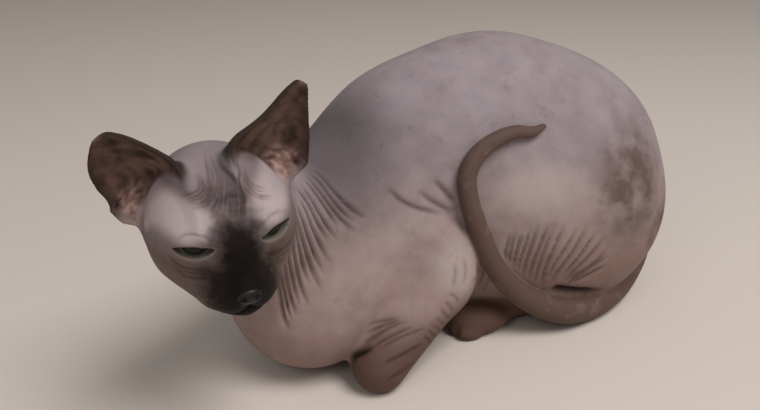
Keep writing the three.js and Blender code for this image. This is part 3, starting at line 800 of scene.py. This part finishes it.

# %% [markdown]
# ## Markings
# The cat is dark at its points: the mask over the nose, the ears, the tail and the lower legs. The
# back is a cool grey, the flanks and chest are a warmer pink grey, and the temples are almost
# bare pink. Each marking is a number from 0 to 1 on every corner of the mesh, worked out from where
# the corner lies on the cat. Some markings are painted light and shade, not the skin's own colour:
# painted shade in the creases, the deep clefts and the ear canals, on the nape and low on the body,
# and painted highlights on the thigh, the elbow and the top of the skull.

# %% Read the corners back
count = len(skin.data.vertices)
flat = np.empty(count * 3)
skin.data.vertices.foreach_get("co", flat)
points = flat.reshape(-1, 3) / MM + FLOOR_MIDDLE


def keep_marking(mesh, name, values):
    layer = mesh.attributes.new(name, "FLOAT", "POINT")
    layer.data.foreach_set("value", np.clip(values, 0, 1).astype(np.float32))


head = in_head(points)
paired = paired_in_head(points)
ahead, aside, above = paired.T
on_head = soft(12, 2, head_form(points)) * soft(72, 55, np.linalg.norm(head, axis=1))
ear_parts = [ear_places(points, s) for s in (1, -1)]
ear_near = [ear_form(points, s) for s in (1, -1)]
nearest = np.where(ear_near[0] < ear_near[1], 0, 1)
share, height, before = [np.where(nearest == 0, ear_parts[0][k], ear_parts[1][k]) for k in range(3)]
on_ear = soft(4.0, 0.8, np.minimum(*ear_near)) * soft(-6, 5, height - 4 * np.abs(share))
in_bowl = on_ear * (before > 0) * soft(1.0, 0.7, np.abs(share))
off_tail = tail_form(points)
on_tail = soft(6, 1.5, off_tail) * soft(2.5, -1.5, off_tail - np.maximum(necked_form(points), -3))

# %% Mask, temples, warmth, painted shade in the creases and on the nape, and painted highlights
mask = soft(20, 2, aside) * soft(27, 8, above) * soft(16, 30, ahead)
mask = np.maximum(mask, soft(20, 36, ahead) * soft(8, -10, above) * soft(33, 10, aside))
core = soft(13, 5, aside) * soft(10, 0, above) * soft(28, 36, ahead)
brow = soft(17, 5, aside) * soft(8, 14, above) * soft(37, 24, above) * soft(10, 22, ahead)
cheek = soft(12, -3, above) * soft(-14, 8, ahead)
temple = soft(13.5, 6, limb(paired, V(28, 18.5, 18.5), V(-4, 31, 19), 0, 0))
temple = np.maximum(temple, 0.9 * soft(10, 4, away(paired, V(2, 36, 15))))
legs = np.zeros(count)
for elbow, wrist, a, b, heel, tip, e, f in FORELEGS:
    fore = limb(points, elbow, wrist, a, b)
    legs = np.maximum(legs, soft(6, 1, fore) * soft(52, 24, points[:, 2]))
    legs = np.maximum(legs, soft(6, 1, limb(points, heel, tip, e, f)))
for s in (near_side, other_side):
    legs = np.maximum(legs, soft(6, 1, foot_form(points, s)))
rump = soft(42, 12, away(points, V(126, -46, 102), V(1, 0.5, 0.8)))
rump = np.maximum(rump, soft(24, 8, away(points, V(156, -38, 68))))
# Painted highlight on the top of the thigh and on the elbow, where the key light falls.
pale = soft(36, 8, away(points, V(56, -46, 108), V(0.9, 0.4, 1.5)))
pale = np.maximum(pale, soft(26, 8, away(points, V(-2, -58, 66))))
# Darker and browner low on the near thigh and towards the floor: partly the skin's browner tone, partly
# painted shade under the body.
low_thigh_brown_and_shade = soft(80, 45, points[:, 2]) * soft(20, 45, points[:, 0]) * soft(2, -12, points[:, 1])
# Painted shade on the nape and shoulders, which face away from the key light.
nape_shade = soft(75, 25, away(points, V(-78, 0, 128)))
# Painted shade: the bottoms of the grooves are marked so that the colour is darkened there.
_, crease_shade = pressed(points, sunk(grooves + special), 1.6)
# Painted shade: the two deep clefts, by the tail and between chest and forearm, are marked for near black
# paint.
_, cleft_shade = pressed(points, sunk(clefts), 1.6)
lids = soft(1.8, 0.2, lid_gap(points)) * on_head

_, rib, root, canal = ear_inside(points)
MARKINGS = dict(
    mask=mask * on_head,
    core=core * on_head,
    lids=lids,
    cheek=cheek * on_head,
    # the head's grey fades out over the top of the skull, leaving a painted highlight on the crown
    crown=on_head * soft(46, 26, above),
    temple=temple * on_head * (1 - on_ear),
    ear=on_ear,
    ear_bowl=in_bowl,
    ear_rib=rib * 0.9,
    ear_root=root,
    ear_canal_shade=canal,
    limb=legs,
    tail=on_tail,
    nape_shade=nape_shade * (1 - on_head),
    warm=soft(150, 55, points[:, 2]),
    rump=rump,
    pale=pale,
    # partly the skin's browner tone low down, partly painted shade towards the floor
    low=np.maximum(0.8 * soft(70, 5, points[:, 2]), low_thigh_brown_and_shade),
    crease_shade=crease_shade,
    cleft=cleft_shade,
    brow=brow * on_head)
for name, values in MARKINGS.items():
    keep_marking(skin.data, name, values)

# %% [markdown]
# ## The finish of the skin
# Bare skin is matt with a soft glow, because light goes in and comes out again, redder. A fine
# down over it catches light at the edges like peach skin. In Blender that is a little subsurface
# light, a sheen, and a bump of very small wrinkles with a net of larger ones.

# %% Helpers for a material
def paint(red, green, blue):
    """A colour as it is given, from 0 to 255, in the linear numbers that a shader wants."""
    c = np.array([red, green, blue]) / 255
    c = np.where(c <= 0.04045, c / 12.92, ((c + 0.055) / 1.055) ** 2.4)
    return (*c, 1.0)


def new_finish(name):
    finish = bpy.data.materials.new(name)
    finish.use_nodes = True
    return finish, finish.node_tree, finish.node_tree.nodes["Principled BSDF"]


def node(tree, kind, **settings):
    made = tree.nodes.new(kind)
    for key, value in settings.items():
        setattr(made, key, value)
    return made


def fill(thing, values):
    """Sets sockets of a node by their names."""
    for name, value in values.items():
        thing.inputs[name].default_value = value


def mixed(tree, share, a, b, blend_type="MIX"):
    """Mixes two colours. A share or a colour may be a socket or a number."""
    mix = node(tree, "ShaderNodeMix", data_type="RGBA", blend_type=blend_type)
    for socket, value in ((mix.inputs[0], share), (mix.inputs[6], a), (mix.inputs[7], b)):
        if isinstance(value, bpy.types.NodeSocket):
            tree.links.new(value, socket)
        else:
            socket.default_value = value
    return mix.outputs[2]


def marking(tree, name):
    return node(tree, "ShaderNodeAttribute", attribute_name=name).outputs["Fac"]


def on_object(tree, kind, values, **settings):
    """A texture that lies on the object's own metres."""
    texture = node(tree, kind, **settings)
    fill(texture, values)
    tree.links.new(node(tree, "ShaderNodeTexCoord").outputs["Object"], texture.inputs["Vector"])
    return texture


def mottle(tree, scale, detail=3.0, low=0.35, high=0.65):
    """A soft uneven pattern that runs from 0 to 1."""
    noise = on_object(tree, "ShaderNodeTexNoise", {"Scale": scale, "Detail": detail})
    spread = node(tree, "ShaderNodeMapRange")
    fill(spread, {"From Min": low, "From Max": high})
    tree.links.new(noise.outputs["Fac"], spread.inputs["Value"])
    return spread.outputs["Result"]


def times(tree, a, b, operation="MULTIPLY"):
    made = node(tree, "ShaderNodeMath", operation=operation)
    for socket, value in zip(made.inputs, (a, b)):
        if isinstance(value, bpy.types.NodeSocket):
            tree.links.new(value, socket)
        else:
            socket.default_value = value
    return made.outputs[0]


def coloured(tree, shader, colour, values):
    """Gives a finish its colour and its plain values."""
    tree.links.new(colour, shader.inputs["Base Color"])
    fill(shader, values)


def bumped(tree, shader, height, strength, distance, **settings):
    bump = node(tree, "ShaderNodeBump", **settings)
    fill(bump, {"Strength": strength, "Distance": distance})
    tree.links.new(height, bump.inputs["Height"])
    tree.links.new(bump.outputs["Normal"], shader.inputs["Normal"])


def laid_over(tree, colour, rows, blend_type="MIX"):
    """Lays paints over a colour, each as far as its marking and its share say."""
    for name, share, wet in rows:
        colour = mixed(tree, times(tree, marking(tree, name), share), colour, wet, blend_type)
    return colour


# %% The colour of the skin
skin_finish, tree, shader = new_finish("bare_skin")
colour = mixed(tree, marking(tree, "warm"), paint(146, 136, 142), paint(154, 131, 125))
colour = mixed(tree, times(tree, mottle(tree, 26), 0.4), colour, paint(112, 94, 92))
colour = mixed(tree, times(tree, mottle(tree, 85, 4), 0.3), colour, paint(172, 156, 154))
# The low row is partly the browner skin low on the body and partly painted shade towards the floor.
colour = laid_over(tree, colour, [("low", 0.65, paint(122, 96, 84)), ("rump", 0.35, paint(104, 86, 79))])
patchy = times(tree, mottle(tree, 60, 5, 0.38, 0.58), marking(tree, "rump"))
colour = mixed(tree, times(tree, patchy, 0.85), colour, paint(90, 73, 67))
# Painted shade: the row for the nape darkens the nape and shoulders.
colour = laid_over(tree, colour, [
    # Painted highlight: the pale row lightens the top of the thigh and the elbow.
    ("pale", 0.45, paint(186, 172, 168)), ("nape_shade", 0.85, paint(86, 78, 80)),
    # Painted highlight: the head's grey stops short of the top of the skull, so the crown stays lighter.
    ("crown", 0.8, paint(114, 100, 99)), ("cheek", 0.95, paint(100, 84, 78)),
    ("limb", 0.9, paint(86, 62, 52)), ("tail", 0.95, paint(90, 70, 62))])
spots = times(tree, mottle(tree, 95, 2, 0.6, 0.7), marking(tree, "tail"))
colour = mixed(tree, times(tree, spots, 0.3), colour, paint(136, 114, 104))
colour = mixed(tree, marking(tree, "temple"), colour, paint(172, 158, 159))
colour = mixed(tree, marking(tree, "ear"), colour, paint(50, 37, 31))
bowl = mixed(tree, mottle(tree, 130, 3), paint(56, 41, 35), paint(110, 86, 77))
colour = laid_over(tree, colour, [("ear_bowl", 0.85, bowl), ("ear_rib", 0.7, paint(136, 109, 99))])
flesh = mixed(tree, mottle(tree, 210, 3), paint(116, 88, 80), paint(182, 150, 141))
# Painted shade: the ear canal and the pouch beside it are painted near black.
colour = laid_over(tree, colour, [("ear_root", 0.9, flesh), ("ear_canal_shade", 0.9, paint(24, 14, 11))])
uneven = times(tree, mottle(tree, 240, 3, 0.3, 0.7), mottle(tree, 90, 2, 0.3, 0.7), "ADD")
edge = node(tree, "ShaderNodeMapRange")
tree.links.new(times(tree, marking(tree, "mask"), times(tree, uneven, 0.22), "ADD"), edge.inputs["Value"])
fill(edge, {"From Min": 0.3, "From Max": 1.1})
streaks = times(tree, times(tree, uneven, 0.5), marking(tree, "brow"))
colour = mixed(tree, times(tree, streaks, 0.95), colour, paint(44, 34, 32))
colour = mixed(tree, edge.outputs["Result"], colour, paint(24, 16, 12))
colour = laid_over(tree, colour, [("core", 0.9, paint(6, 3, 2)), ("lids", 0.7, paint(118, 108, 102))])
# Painted shade: the colour is darkened along the bottoms of the folds' grooves.
colour = laid_over(tree, colour, [("crease_shade", 0.55, paint(112, 84, 78))], "MULTIPLY")
# Painted shade: the deep clefts by the tail and the forearm are painted near black.
colour = laid_over(tree, colour, [("cleft", 0.92, paint(14, 7, 4))])

# %% Its gloss, glow, down and fine wrinkles
coloured(tree, shader, colour, {
    "Roughness": 0.66, "Specular IOR Level": 0.14, "Subsurface Weight": 0.12,
    "Subsurface Radius": (1.0, 0.35, 0.22), "Subsurface Scale": 0.004, "Sheen Weight": 0.03,
    "Sheen Roughness": 0.5, "Sheen Tint": paint(235, 225, 225)})

grain = mottle(tree, 900, 2)
wrinkles = on_object(tree, "ShaderNodeTexVoronoi", {"Scale": 420}, feature="DISTANCE_TO_EDGE")
height = times(tree, wrinkles.outputs["Distance"], 0.6)
height = times(tree, height, times(tree, grain, 0.3), "ADD")
bumped(tree, shader, height, 0.25, 0.0006)
skin.data.materials.append(skin_finish)

# %% [markdown]
# ## The eyes
# Each eye is a ball with a clear bulge over the iris. Only a slit of it shows. The pupil, the
# iris and the white are rings about the line of sight, so the colour is read from how far a
# point lies from that line.

# %% Eyeballs with a bulge over the iris
SIGHT = unit(GAZE + 0.36 * lid_up)  # the cat looks out from just under its upper lids


def eyeball(side):
    rings, around = 40, 48
    centre = EYE["at"] * V(1, side, 1)
    out = SIGHT * V(1, side, 1)
    across = lid_across * V(1, side, 1)
    up = np.cross(out, across)
    corners = [centre - out * EYE["radius"]]
    for i in range(1, rings):
        angle = np.pi * (1 - i / rings)
        bulge = 0.55 * np.exp(-(angle / 0.62) ** 4)
        for k in range(around):
            turn = 2 * np.pi * k / around
            corners.append(centre + (EYE["radius"] + bulge) * (
                out * np.cos(angle) + np.sin(angle) * (across * np.cos(turn) + up * np.sin(turn))))
    corners.append(centre + out * (EYE["radius"] + 0.55))
    faces = [(0, 1 + (k + 1) % around, 1 + k) for k in range(around)]
    for i in range(rings - 2):
        a = 1 + i * around
        faces += [(a + k, a + (k + 1) % around, a + around + (k + 1) % around, a + around + k)
                  for k in range(around)]
    last = len(corners) - 1
    top = last - around
    faces += [(top + k, top + (k + 1) % around, last) for k in range(around)]
    name = "eye_ball_left" if side > 0 else "eye_ball_right"
    made = mesh_object(name, from_head(corners), faces)
    angle = np.degrees(np.arccos(np.clip(unit(np.array(corners) - centre) @ out, -1, 1)))
    keep_marking(made.data, "from_sight", angle / 90)
    return made


eyes = [eyeball(side) for side in (1, -1)]

# %% The finish of an eye
eye_finish, tree, shader = new_finish("eye_glass")
sight = marking(tree, "from_sight")
ramp = node(tree, "ShaderNodeValToRGB")
tree.links.new(sight, ramp.inputs["Fac"])
stops = ramp.color_ramp.elements
stops[0].position, stops[0].color = 0.0, paint(6, 6, 6)
stops[1].position, stops[1].color = 0.40, paint(7, 6, 5)
for position, colour in ((0.47, paint(70, 72, 62)), (0.56, paint(130, 132, 122)),
                         (0.68, paint(150, 146, 138))):
    stop = stops.new(position)
    stop.color = colour
rays = mottle(tree, 700, 2)
tint = mixed(tree, times(tree, rays, 0.25), ramp.outputs["Color"], paint(40, 44, 36))
coloured(tree, shader, tint, {
    "Roughness": 0.3, "Specular IOR Level": 0.15, "Coat Weight": 0.12, "Coat Roughness": 0.03})
for made in eyes:
    made.data.materials.append(eye_finish)

# %% [markdown]
# ## The nose leather
# The nose is a small pad of bare, pebbled leather with two comma-shaped nostrils. It is darker and
# moister than the skin round it, so it is a piece of its own, standing a hair proud of the muzzle.

# %% The nose pad, drawn in the same way on a fine grid
NOSTRIL = dict(at=V(45.9, 2.9, -17.3), radii=V(2.4, 1.0, 1.4))


def nose_form(p):
    q = in_head(p)
    s = paired_in_head(p)
    d = cut(head_form(p) - 0.35, -(egg(q, NOSE["at"], NOSE["radii"]) - 0.9), 0.8)
    d = cut(d, egg(s, NOSTRIL["at"], NOSTRIL["radii"]), 0.6)
    return cut(d, egg(s, NOSTRIL["at"] + V(-0.6, 1.4, -0.5), V(1.8, 1.0, 0.7)), 0.5)


nose_middle = from_head(NOSE["at"])
nose_lines = [np.arange(c - 9, c + 9, 0.45) for c in nose_middle]
nose_corners, nose_faces = largest_piece(*net_of(read_form(nose_form, *nose_lines, skip=1), *nose_lines))
nose_corners = settle(nose_form, nose_corners, 1)
nose = mesh_object("nose_pad", nose_corners, nose_faces)

# %% The finish of the nose
nose_finish, tree, shader = new_finish("nose_leather")
tint = mixed(tree, mottle(tree, 600, 3), paint(12, 10, 9), paint(26, 23, 21))
coloured(tree, shader, tint, {"Roughness": 0.42, "Specular IOR Level": 0.3})
pebbles = on_object(tree, "ShaderNodeTexVoronoi", {"Scale": 1500})
bumped(tree, shader, pebbles.outputs["Distance"], 0.35, 0.0003, invert=True)
nose.data.materials.append(nose_finish)

# %% [markdown]
# ## Short whiskers
# A sphynx has few whiskers, short and often broken, on the pads beside the nose and over the eyes.
# They repeat over a surface, so a tree of Geometry Nodes makes them: it scatters points over a
# patch of the skin, stands a small cone on each, leaning back a little, and gives them a finish.

# %% The patches that carry them
WHISKER_PATCHES = [dict(at=V(37, 9.5, -21), radii=V(9, 6.5, 5.5)),
                   dict(at=V(24, 15, 19.5), radii=V(5, 3.5, 3.5))]


def patch_of(thing, wanted, name):
    """A copy of the faces of a mesh whose corners are all wanted."""
    kept = [face for face in thing.data.polygons if wanted[list(face.vertices)].all()]
    used = np.unique([corner for face in kept for corner in face.vertices])
    number = dict(zip(used, range(len(used))))
    return mesh_object(name, points[used], [[number[corner] for corner in face.vertices] for face in kept])


in_patch = np.zeros(count, bool)
for patch in WHISKER_PATCHES:
    in_patch |= egg(paired, patch["at"], patch["radii"]) < 0
whiskers = patch_of(skin, in_patch & (lid_gap(points) > 2), "whiskers")

# %% The tree that scatters the stubs
whisker_finish, tree, shader = new_finish("whisker_hair")
tint = mixed(tree, mottle(tree, 500, 2), paint(16, 11, 9), paint(34, 26, 22))
coloured(tree, shader, tint, {"Roughness": 0.5})

scatter = bpy.data.node_groups.new("stubs_on_skin", "GeometryNodeTree")
sizes = {}
scatter.interface.new_socket("Geometry", in_out="INPUT", socket_type="NodeSocketGeometry")
for name, kind, value in (("Spacing", "NodeSocketFloat", 0.0026), ("Length", "NodeSocketFloat", 0.0034),
                          ("Thickness", "NodeSocketFloat", 0.00014), ("Seed", "NodeSocketInt", 11)):
    socket = scatter.interface.new_socket(name, in_out="INPUT", socket_type=kind)
    sizes[name] = (socket.identifier, value)
scatter.interface.new_socket("Geometry", in_out="OUTPUT", socket_type="NodeSocketGeometry")
given = node(scatter, "NodeGroupInput").outputs
spots = node(scatter, "GeometryNodeDistributePointsOnFaces", distribute_method="POISSON")
spots.inputs["Density Max"].default_value = 160000
cone = node(scatter, "GeometryNodeMeshCone")
fill(cone, {"Vertices": 6, "Radius Top": 0.00005})
back = node(scatter, "ShaderNodeVectorMath", operation="ADD")
back.inputs[1].default_value = Vector(V(-0.7, 0, 0.1) @ HEAD_AXES)
lean = node(scatter, "FunctionNodeAlignRotationToVector", axis="Z")
planted = node(scatter, "GeometryNodeInstanceOnPoints")
uneven_length = node(scatter, "FunctionNodeRandomValue", data_type="FLOAT")
for socket, value in zip(uneven_length.inputs[2:4], (0.5, 1.0)):
    socket.default_value = value
real = node(scatter, "GeometryNodeRealizeInstances")
painted = node(scatter, "GeometryNodeSetMaterial")
painted.inputs["Material"].default_value = whisker_finish
ending = node(scatter, "NodeGroupOutput")
for source, target in (
        (given["Geometry"], spots.inputs["Mesh"]),
        (given["Spacing"], spots.inputs["Distance Min"]),
        (given["Seed"], spots.inputs["Seed"]),
        (given["Thickness"], cone.inputs["Radius Bottom"]),
        (given["Length"], cone.inputs["Depth"]),
        (spots.outputs["Normal"], back.inputs[0]),
        (back.outputs[0], lean.inputs["Vector"]),
        (spots.outputs["Points"], planted.inputs["Points"]),
        (cone.outputs["Mesh"], planted.inputs["Instance"]),
        (lean.outputs["Rotation"], planted.inputs["Rotation"]),
        (given["Seed"], uneven_length.inputs["Seed"]),
        (uneven_length.outputs[1], planted.inputs["Scale"]),
        (planted.outputs["Instances"], real.inputs["Geometry"]),
        (real.outputs["Geometry"], painted.inputs["Geometry"]),
        (painted.outputs["Geometry"], ending.inputs["Geometry"])):
    scatter.links.new(source, target)

# %% Grow them and keep the plain mesh
growing = whiskers.modifiers.new("stubs", "NODES")
growing.node_group = scatter
for identifier, value in sizes.values():
    growing[identifier] = value
settled_mesh(whiskers)
print("whiskers:", len(whiskers.data.polygons), "faces")

# %% [markdown]
# ## Floor and light
# The cat lies on a plain pale floor. The light is soft and comes from a large panel high up to
# the right of the camera, with a weak one on its left, so that the folds are shaded and no
# shadow is hard.

# %% The floor
FLOOR_CORNERS = [(-4000, -3000, -0.2), (4000, -3000, -0.2), (4000, 6000, -0.2), (-4000, 6000, -0.2)]
floor = mesh_object("floor", FLOOR_CORNERS, [(0, 1, 2, 3)], smooth=False)
floor_finish, tree, shader = new_finish("pale_floor")
tint = mixed(tree, times(tree, mottle(tree, 3), 0.06), paint(214, 204, 196), paint(196, 184, 174))
coloured(tree, shader, tint, {"Roughness": 0.8})
floor.data.materials.append(floor_finish)


# %% The light
LIGHTS_LOOK_AT = (0.0, 0.0, 0.08)


def panel(name, at, side, power, tint):
    data = bpy.data.lights.new(name, "AREA")
    data.shape = "RECTANGLE"
    data.size = data.size_y = side
    data.energy = power
    data.color = tint
    placed(name, data, at, (Vector(LIGHTS_LOOK_AT) - Vector(at)).to_track_quat("-Z", "Y"))


panel("key_light", (0.6, -1.15, 2.0), 1.2, 41.0, (1.0, 0.975, 0.95))
panel("fill_light", (-0.9, -0.9, 1.0), 0.7, 3.0, (0.97, 0.98, 1.0))
world = bpy.data.worlds.new("room")
bpy.context.scene.world = world
bpy.context.scene.view_settings.view_transform = "Standard"
world.use_nodes = True
world.node_tree.nodes["Background"].inputs["Color"].default_value = (0.80, 0.77, 0.74, 1)
world.node_tree.nodes["Background"].inputs["Strength"].default_value = 0.32

# %% [markdown]
# ## Handing over
# Each piece rides on the one body that the still cat has, and takes the place of its solids.

# %% Ride and replace
FLESH = [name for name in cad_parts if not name.startswith(("eye", "nose"))]
for piece in [skin, nose, whiskers] + eyes:
    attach(piece, "root")
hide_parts(*FLESH)
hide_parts("nose")
for made, name in zip(eyes, ("eye_left", "eye_right")):
    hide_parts(name)
